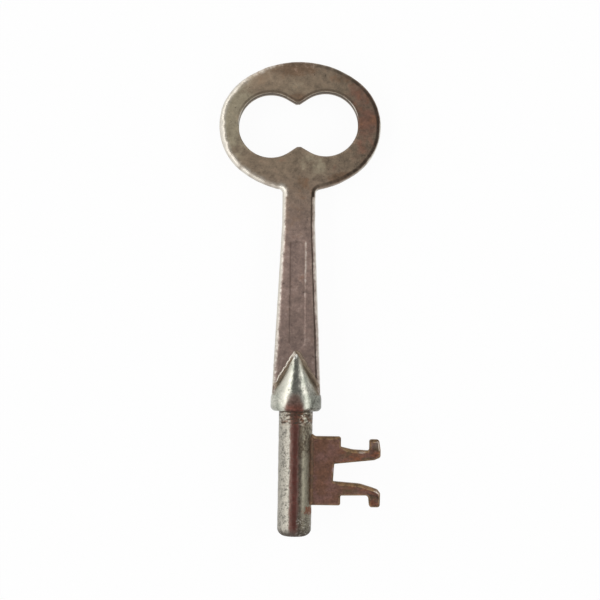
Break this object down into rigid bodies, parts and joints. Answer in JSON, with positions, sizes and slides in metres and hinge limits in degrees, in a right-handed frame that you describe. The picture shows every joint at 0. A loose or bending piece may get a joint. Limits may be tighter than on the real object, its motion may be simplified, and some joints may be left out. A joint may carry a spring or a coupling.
{
  "type": "skeleton key",
  "caption": "Old flat-bow skeleton key: stamped bow and stem, forked shoulder collar, round post and hooked bit, worn bright and rusted.",
  "frame": {"origin": "middle of the key's box at ground height, with the key on its back; the post's centre line is x = 0, because the bit's reach and half the bow's width differ by 0.7 mm only", "axes": "+Y along the key towards the bow, +X the way the bit points, +Z out of the face that has the sunken panel"},
  "size_m": [0.0311, 0.0888, 0.0095],
  "materials": {
    "blade": "worn nickel plate over steel, browned, bare and bright on the left bevels, rusted along the rim",
    "collar": "worn nickel plate, bright on the flanks, purple-brown tarnish in the middle",
    "post": "worn bright steel, pitted, with brown tarnish and a rust ring below the collar",
    "bit": "smooth brown tarnish with orange rust and bare edges",
    "braze": "tarnished brass braze"
  },
  "bodies": {
    "root": {"bow_blade": "blade", "shoulder_collar": "collar", "post": "post", "bit": "bit", "bit_braze": "braze", "tang_braze": "braze"}
  },
  "joints": []
}
